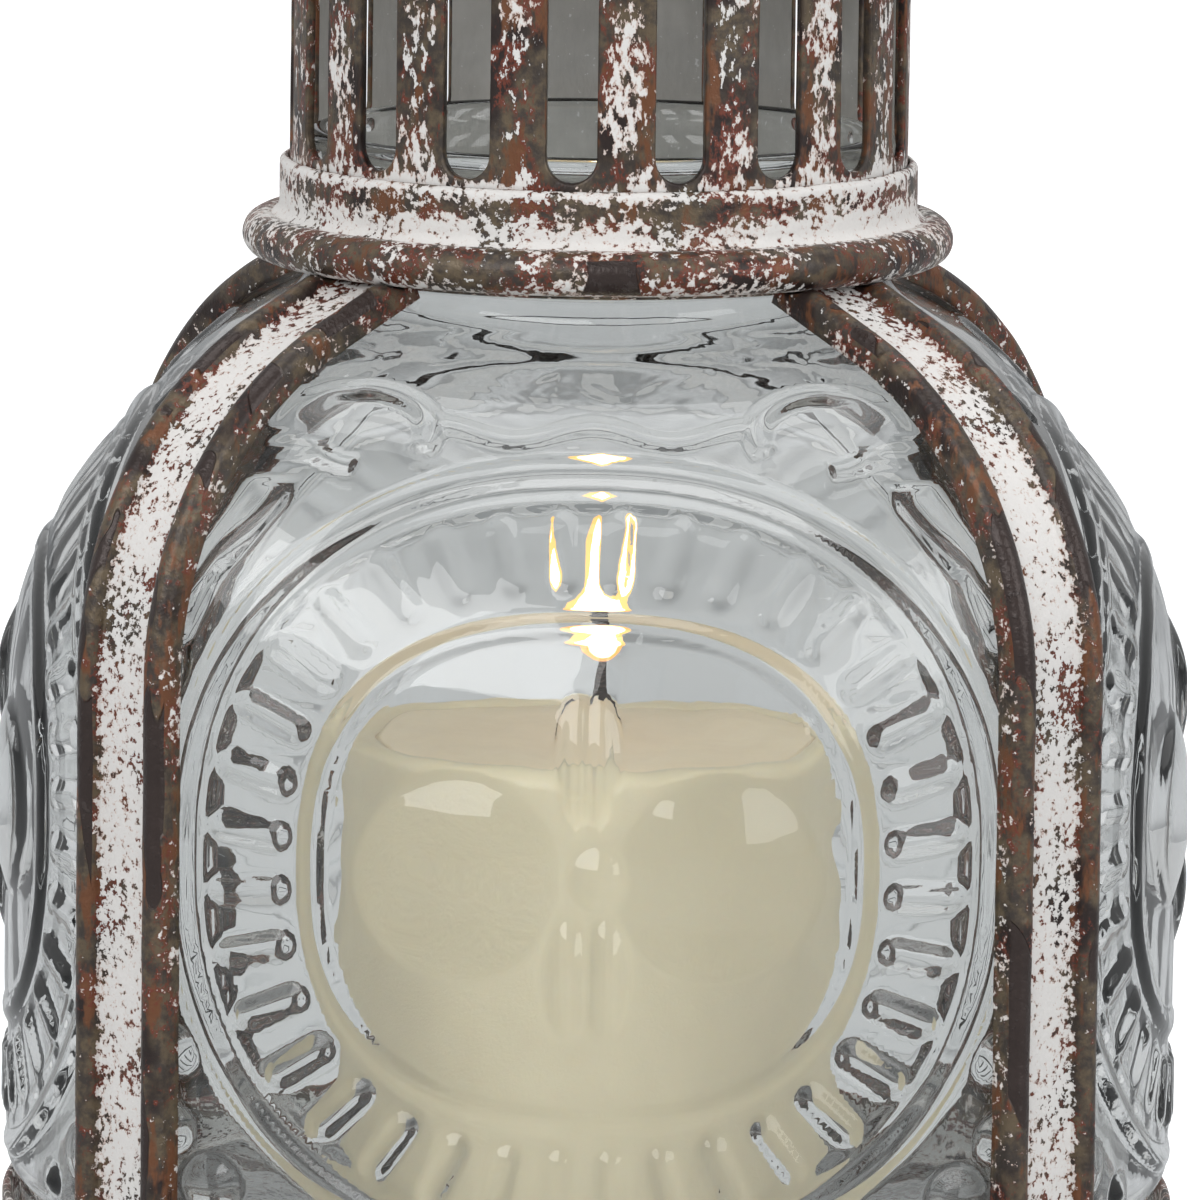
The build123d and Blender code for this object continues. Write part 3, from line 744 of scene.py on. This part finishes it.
def build_chimney(material, inside_material):
    """The slotted tube: one sector of wall round each slot, its slot edges rounded over."""
    half_pitch = TUBE_R * TAU / SLOTS / 2
    contour = slot_contour(14, 34)
    bevel = 0.4
    shares = (0.0, 0.12, 0.28, 0.48, 0.72, 1.0)
    inner_r = TUBE_R - SHEET
    rings = []
    for share in shares:
        ring = []
        for point in contour:
            end = sector_edge(point, half_pitch)
            base = (point[0] + point[2] * bevel, point[1] + point[3] * bevel)
            s = base[0] + (end[0] - base[0]) * share
            z = base[1] + (end[1] - base[1]) * share
            ring.append((s, z, TUBE_R, math.hypot(s - point[0], z - point[1])))
        rings.append(ring)
    edge = [[(p[0], p[1], TUBE_R - bevel, 0.0) for p in contour], [(p[0], p[1], inner_r, 0.0) for p in contour]]
    back = [[(s, z, inner_r, 9.0) for s, z, _, _ in ring] for ring in rings]
    bevel_rings = [
        [(p[0] + p[2] * bevel * (1 - math.cos(a)), p[1] + p[3] * bevel * (1 - math.cos(a)),
          TUBE_R - bevel * (1 - math.sin(a)), 0.1) for p in contour] for a in np.radians((60, 30))
    ]
    layers = rings[::-1] + bevel_rings + edge + back
    around = len(contour)
    flat, faces, wear, inner_from = [], [], [], len(rings) + len(bevel_rings) + 1
    materials = []
    for index in range(SLOTS):
        middle = SLOT_PHASE + index * TAU / SLOTS
        first = len(flat)
        for layer in layers:
            for s, z, r, distance in layer:
                a = middle + s / TUBE_R
                flat.append((r * math.cos(a), r * math.sin(a), z))
                wear.append(0.58 + 0.46 * math.exp(-((distance / 1.5) ** 2)))
        faces += grid_faces(len(layers), around, first)
        materials += [0 if row < inner_from else 1 for row in range(len(layers) - 1) for _ in range(around)]
    flat = np.array(flat)
    wear = np.array(wear)
    low_part = np.exp(-np.maximum(flat[:, 2] - 163.0, 0) / 1.6)
    wear = wear * (1 - 0.55 * low_part)
    wobble = ripple(flat, 22.0, 0.07, 8)
    flat[:, :2] *= (1 + wobble / TUBE_R)[:, None]
    wear = np.clip(wear + ripple(flat, 20.0, 0.18, 9), 0, 1)
    piece = make_piece("chimney_tube", flat, faces, material, "lid", "white_paint", ["vent_chimney"], wear=wear)
    piece.data.materials.append(inside_material)
    if len(piece.data.polygons) == len(materials):
        piece.data.polygons.foreach_set("material_index", materials)
    close_tube_ends(piece)
    return piece


def close_tube_ends(piece):
    """Joins the sectors and closes the ring-shaped gaps at the tube's two ends."""
    bm = bmesh.new()
    bm.from_mesh(piece.data)
    bmesh.ops.remove_doubles(bm, verts=bm.verts, dist=2e-5)
    ends = [e for e in bm.edges if e.is_boundary]
    for level in (min(v.co.z for v in bm.verts), max(v.co.z for v in bm.verts)):
        rim = [e for e in ends if abs(e.verts[0].co.z - level) < 1e-4 and abs(e.verts[1].co.z - level) < 1e-4]
        if rim:
            bmesh.ops.bridge_loops(bm, edges=rim)
    bmesh.ops.recalc_face_normals(bm, faces=bm.faces)
    bm.to_mesh(piece.data)
    bm.free()


def build_cap(material):
    """The domed roof, its seam rings, skirt and rolled eave."""
    skirt = TUBE_R + 0.05
    eave_r, eave_z, eave_radius = EAVE
    top = []
    spring, middle, crown = DOME_SPRING, DOME_MIDDLE, (CROWN_R, CROWN_Z)
    for t in np.linspace(0, 1, 26):
        w0, w1, w2 = (1 - t) * (1 - 2 * t), 4 * t * (1 - t), t * (2 * t - 1)
        top.append(tuple(a * w0 + b * w1 + c * w2 for a, b, c in zip(spring, middle, crown)))
    outline = [(skirt, SKIRT_LOW), (skirt + SHEET, SKIRT_LOW), (skirt + SHEET, SKIRT_LOW + 2.0)]
    outline += arc((eave_r, eave_z), eave_radius, -118, 118, 22)
    outline += top
    outline += [(7.0, CROWN_Z), (3.4, CROWN_Z), (2.52, CROWN_Z - 0.1), (2.52, CROWN_Z - SHEET)]
    outline += [(7.0, CROWN_Z - SHEET)]
    outline += [(r - 0.5, z - SHEET) for r, z in top[::-1]]
    outline += [(skirt, 220.6)]
    outline = np.array(outline)
    segments = 300
    points, faces = revolve(outline, segments, 0.12, 24.0, 13)
    eave = np.hypot(outline[:, 0] - eave_r, outline[:, 1] - eave_z) < eave_radius + 0.1
    wear = np.where(eave, 0.66, 0.30)
    wear = np.where(outline[:, 1] > CROWN_Z - 2.0, 0.5, wear)
    wear = np.where(outline[:, 1] < SKIRT_LOW + 2.1, 0.5, wear)
    wear = np.clip(np.repeat(wear, segments) + ripple(points, 26.0, 0.22, 31), 0, 1)
    piece = make_piece("roof_dome", points, faces, material, "lid", "white_paint", ["cap_roof"], wear=wear)
    recalc_normals(piece)
    return piece


# ---------------------------------------------------------------- base
def build_pan(material):
    """The shallow pan: bottom, outer wall, rolled foot rim and wired top edge."""
    rim_half, rim_corner, rim_z, rim_radius = PAN_RIM
    rows = [(PAN_LOW, 5.0, 5.3), (PAN_LOW, 50.0, 53.0)]
    for a in np.radians(np.linspace(-100, 118, 26)):
        out = rim_radius * math.cos(a)
        rows.append((rim_z + rim_radius * math.sin(a), rim_half + out, rim_corner + out))
    rows += [(z, PAN_HALF, PAN_CORNER) for z in np.linspace(8.4, PAN_TOP - 0.8, 10)]
    for drop, inset in ((0.2, 0.2), (0.0, 0.6), (0.2, 1.0)):
        rows.append((PAN_TOP - drop, PAN_HALF - inset, PAN_CORNER - inset))
    rows += [(z, PAN_HALF - SHEET, PAN_CORNER - SHEET) for z in (PAN_TOP - 0.8, 12.0, PAN_FLOOR)]
    rows += [(PAN_FLOOR, 50.0, 53.0), (PAN_FLOOR, 5.0, 5.3)]
    rows = np.array(rows)
    points, _ = sectioned(rows, 96, 14)
    count, around = points.shape[:2]
    flat = points.reshape(-1, 3)
    centre = np.array([(0, 0, PAN_LOW), (0, 0, PAN_FLOOR)])
    wear = 0.28 + 0.42 * np.exp(-((rows[:, 0] - 5.0) / 2.4) ** 2) * (rows[:, 1] > 84)
    wear = np.where(rows[:, 0] > 16.5, 0.6, wear)
    wear = np.clip(np.repeat(wear, around) + ripple(flat, 28.0, 0.2, 51), 0, 1)
    faces = grid_faces(count, around)
    faces += [(len(flat), (c + 1) % around, c) for c in range(around)]
    last = (count - 1) * around
    faces += [(len(flat) + 1, last + c, last + (c + 1) % around) for c in range(around)]
    piece = make_piece("pan_shell", np.vstack([flat, centre]), faces, material, "base", "white_paint", ["base_pan"],
                       wear=np.append(wear, [0.4, 0.4]))
    recalc_normals(piece)
    return piece


# ---------------------------------------------------------------- candle
def build_candle(body_material, pool_material):
    """A pillar candle, its rim softened by heat, and the tan melted pool in its top."""
    outline = [(2.0, JAR_FLOOR), (CANDLE_R - 1.2, JAR_FLOOR), (CANDLE_R - 0.3, JAR_FLOOR + 0.4)]
    outline += [(CANDLE_R, JAR_FLOOR + 1.2)]
    outline += [(CANDLE_R, z) for z in np.linspace(14, 78.5, 34)]
    outline += arc((CANDLE_R - 2.0, 79.6), 2.0, 0, 90, 9)
    outline += [(31.6, 81.4), (30.6, 80.8), (29.8, 80.3), (26.0, 80.1), (2.0, 80.1)]
    outline = np.array(outline)
    points, faces = revolve(outline, 220)
    reach = np.hypot(points[:, 0], points[:, 1])
    angle = np.arctan2(points[:, 1], points[:, 0])
    rim = np.exp(-((reach - 32.8) / 2.2) ** 2) * (points[:, 2] > 78)
    sag = 0.28 * np.sin(3 * angle + 0.6) + 0.18 * np.sin(7 * angle) + 0.10 * np.sin(17 * angle + 2)
    points[:, 2] += rim * sag
    points[:, 2] = np.minimum(points[:, 2], CANDLE_TOP)
    points[:, :2] *= (1 - np.abs(ripple(points, 24.0, 0.22, 61)) / np.maximum(reach, 8))[:, None]
    piece = make_piece("candle_wax", points, faces, body_material, "candle", "ivory_wax", ["candle_body"])
    recalc_normals(piece)
    pool = [(1.1, 79.9), (29.6, 79.9), (30.3, 80.5), (29.4, 80.7)]
    pool += [(20.0, 80.62), (8.0, 80.6), (2.2, 80.8), (1.1, 81.3)]
    points, faces = revolve(pool, 160)
    dimple = ripple(points, 16.0, 0.10, 71) * (points[:, 2] > 80.55)
    points[:, 2] += dimple
    top = make_piece("candle_pool", points, faces, pool_material, "candle", "molten_wax", ["melted_wax"])
    recalc_normals(top)
    return piece, top


def tube_along(name, path, radii, around, material, body, slot, cad_nodes=()):
    """A closed tube through the path's points, with a radius at each."""
    path = np.asarray(path, float)
    tangents = np.gradient(path, axis=0)
    tangents /= np.linalg.norm(tangents, axis=1, keepdims=True)
    rows = []
    for point, tangent, radius in zip(path, tangents, radii):
        side = np.cross(tangent, (1.0, 0.0, 0.0))
        side /= np.linalg.norm(side)
        other = np.cross(tangent, side)
        angles = np.arange(around) * TAU / around
        rows.append(point + radius * (np.cos(angles)[:, None] * side + np.sin(angles)[:, None] * other))
    flat = np.vstack(rows)
    faces = grid_faces(len(rows), around)
    faces.append(tuple(range(around))[::-1])
    faces.append(tuple((len(rows) - 1) * around + c for c in range(around)))
    piece = make_piece(name, flat, faces, material, body, slot, cad_nodes)
    recalc_normals(piece)
    return piece


def build_wick(material):
    heights = np.linspace(11.4, WICK_TOP, 70)
    bend = np.clip((heights - 82) / 12, 0, 1)
    path = np.column_stack([0.5 * bend**2, -0.4 * bend, heights])
    twist = 1 + 0.12 * np.sin(heights * 4.1)
    radii = 0.85 * twist * np.where(heights > 92.5, 0.8, 1.0)
    return tube_along("wick_braid", path, radii, 14, material, "candle", "cotton_wick", ["wick"])


def build_flame():
    """A candle flame 22 mm tall: a pale core in an orange mantle."""
    oranges = rgb(1.0, 0.42, 0.12), rgb(1.0, 0.60, 0.20), rgb(1.0, 0.50, 0.14)
    yellows = rgb(1.0, 0.62, 0.28), rgb(1.0, 0.93, 0.70), rgb(1.0, 0.85, 0.5)
    mantle = flame_light("flame_mantle", *oranges, strength=1.7, share=0.72)
    core = flame_light("flame_core", *yellows, strength=14.0, share=0.98)
    for name, material, low, high, width in (("flame_mantle", mantle, FLAME_LOW, FLAME_TOP, FLAME_R),
                                             ("flame_core", core, FLAME_LOW + 0.6, FLAME_TOP - 3.3, FLAME_R - 1.0)):
        heights = np.linspace(low, high, 40)
        t = (heights - low) / (high - low)
        radii = width * np.sin(np.pi * t**0.62) ** 0.9 * (1 - 0.45 * t) + 0.06
        path = np.column_stack([0.4 + 0.5 * t, -0.3 * np.ones_like(t), heights])
        tube_along(name, path, radii, 24, material, "candle", "molten_wax")


# ---------------------------------------------------------------- stage, lamps and camera
def build_stage():
    """A pale floor that is bright where it is seen directly and greyer where it is seen through glass."""
    n = Nodes("pale_floor")
    soft = n.noise(900.0, 2.0)
    diffuse = n.principled(Base_Color=n.mix(soft, rgb(0.49, 0.50, 0.51), rgb(0.52, 0.53, 0.54)), Roughness=0.9)
    bright = n.add("ShaderNodeEmission", {"Color": rgb(1, 1, 1), "Strength": 0.80}).outputs[0]
    seen = n.add("ShaderNodeLightPath").outputs["Is Camera Ray"]
    glow = n.add("ShaderNodeAddShader", {0: diffuse, 1: bright}).outputs[0]
    both = n.add("ShaderNodeMixShader")
    n.link(seen, both.inputs[0])
    n.link(diffuse, both.inputs[1])
    n.link(glow, both.inputs[2])
    material = n.finish(both.outputs[0])
    mesh = bpy.data.meshes.new("floor")
    size = 12.0
    mesh.from_pydata([(-size, -size, 0), (size, -size, 0), (size, size, 0), (-size, size, 0)], [], [(0, 1, 2, 3)])
    mesh.materials.append(material)
    floor = bpy.data.objects.new("floor", mesh)
    bpy.context.scene.collection.objects.link(floor)


def area_lamp(name, place, target, size, power, colour=(1, 1, 1)):
    lamp = bpy.data.lights.new(name, "AREA")
    lamp.shape = "RECTANGLE"
    lamp.size, lamp.size_y = size
    lamp.energy = power
    lamp.color = colour
    holder = bpy.data.objects.new(name, lamp)
    holder.location = place
    holder.rotation_euler = (Vector(target) - Vector(place)).to_track_quat("-Z", "Y").to_euler()
    bpy.context.scene.collection.objects.link(holder)


def build_lights():
    middle = (0, 0, 0.13)
    area_lamp("key", (-0.7, -1.5, 1.05), middle, (1.5, 0.95), 16)
    area_lamp("fill", (1.3, -1.1, 0.75), middle, (1.1, 1.1), 9)
    area_lamp("top", (0.1, 0.2, 1.6), middle, (1.3, 1.3), 11)
    world = bpy.data.worlds.new("studio")
    world.use_nodes = True
    tree = world.node_tree
    place = tree.nodes.new("ShaderNodeTexCoord").outputs["Generated"]
    apart = tree.nodes.new("ShaderNodeSeparateXYZ")
    tree.links.new(place, apart.inputs[0])
    sideways = tree.nodes.new("ShaderNodeMath")
    sideways.operation = "ABSOLUTE"
    tree.links.new(apart.outputs["X"], sideways.inputs[0])
    shade = tree.nodes.new("ShaderNodeMapRange")
    shade.interpolation_type = "SMOOTHSTEP"
    tree.links.new(sideways.outputs[0], shade.inputs["Value"])
    for socket, value in (("From Min", 0.35), ("From Max", 0.95), ("To Min", 0.52), ("To Max", 0.80)):
        shade.inputs[socket].default_value = value
    seen = tree.nodes.new("ShaderNodeLightPath").outputs["Is Camera Ray"]
    strength = tree.nodes.new("ShaderNodeMath")
    strength.operation = "MAXIMUM"
    tree.links.new(seen, strength.inputs[0])
    tree.links.new(shade.outputs[0], strength.inputs[1])
    tint = tree.nodes.new("ShaderNodeMix")
    tint.data_type = "RGBA"
    tree.links.new(seen, tint.inputs[0])
    tint.inputs[6].default_value = rgb(0.94, 0.955, 0.965)
    tint.inputs[7].default_value = rgb(1, 1, 1)
    tree.links.new(strength.outputs[0], tree.nodes["Background"].inputs["Strength"])
    tree.links.new(tint.outputs[2], tree.nodes["Background"].inputs["Color"])
    bpy.context.scene.world = world


def build_camera():
    distance, height, yaw, roll = 1.500, 0.330, math.radians(0.3), math.radians(0.7)
    target = Vector((0, 0, 0.101))
    place = Vector((distance * math.sin(yaw), -distance * math.cos(yaw), height))
    camera = bpy.data.cameras.new("camera")
    camera.sensor_width = 36.0
    photo_mm_per_pixel, photo_rows = 0.14, 1200
    camera.lens = camera.sensor_width * (target - place).length / (photo_mm_per_pixel * MM * photo_rows)
    holder = bpy.data.objects.new("camera", camera)
    look = (target - place).to_track_quat("-Z", "Y").to_matrix().to_4x4()
    holder.matrix_world = Matrix.Translation(place) @ look @ Matrix.Rotation(roll, 4, "Z")
    bpy.context.scene.collection.objects.link(holder)
    bpy.context.scene.camera = holder


def finish_cad_nodes(materials):
    """Better materials for the CAD nodes that show as they are."""
    for node, material in materials.items():
        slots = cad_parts[node].material_slots
        for slot in slots:
            slot.material = material


# ---------------------------------------------------------------- the scene
paint = worn_paint("worn_paint")
streaky_paint = worn_paint("worn_paint_streaky", stretch=(1, 1, 0.55))
iron = worn_paint("worn_iron", wear=0.78)
steel = plain_steel("drawn_steel", rgb(0.30, 0.29, 0.28), rgb(0.55, 0.54, 0.52), 0.4)
tin = plain_steel("tinplate", rgb(0.55, 0.55, 0.55), rgb(0.75, 0.75, 0.75), 0.35)
rubber = foot_rubber()

build_camera()
build_jar(clear_glass())
CORNERS = {"back_right": 45, "back_left": 135, "front_left": 225, "front_right": 315}
for seed, (corner_name, azimuth) in enumerate(CORNERS.items(), start=1):
    build_strap(corner_name, azimuth, paint, seed)
build_collar(paint)
build_chimney(streaky_paint, dull_inside())
build_cap(paint)
build_pan(paint)
build_candle(
    wax("ivory_wax", rgb(0.575, 0.505, 0.345), rgb(0.64, 0.57, 0.40), 0.42, 0.3, 0.10),
    wax("melted_wax", rgb(0.70, 0.56, 0.36), rgb(0.84, 0.70, 0.48), 0.34, 0.2, 0.004),
)
build_wick(charred_wick())
build_flame()
cad_looks = {
    "cage_hoop": iron, "strap_rivets": iron, "eye_bolt": iron, "carrying_ring": iron, "crown_washer": iron,
    "crown_nut": steel, "base_rim_wire": steel, "collar_rim_wire": steel, "wick_sustainer": tin,
}
cad_looks.update({"foot_pad_" + name: rubber for name in CORNERS})
finish_cad_nodes(cad_looks)
build_stage()
build_lights()
bpy.context.scene.view_settings.view_transform = "Standard"
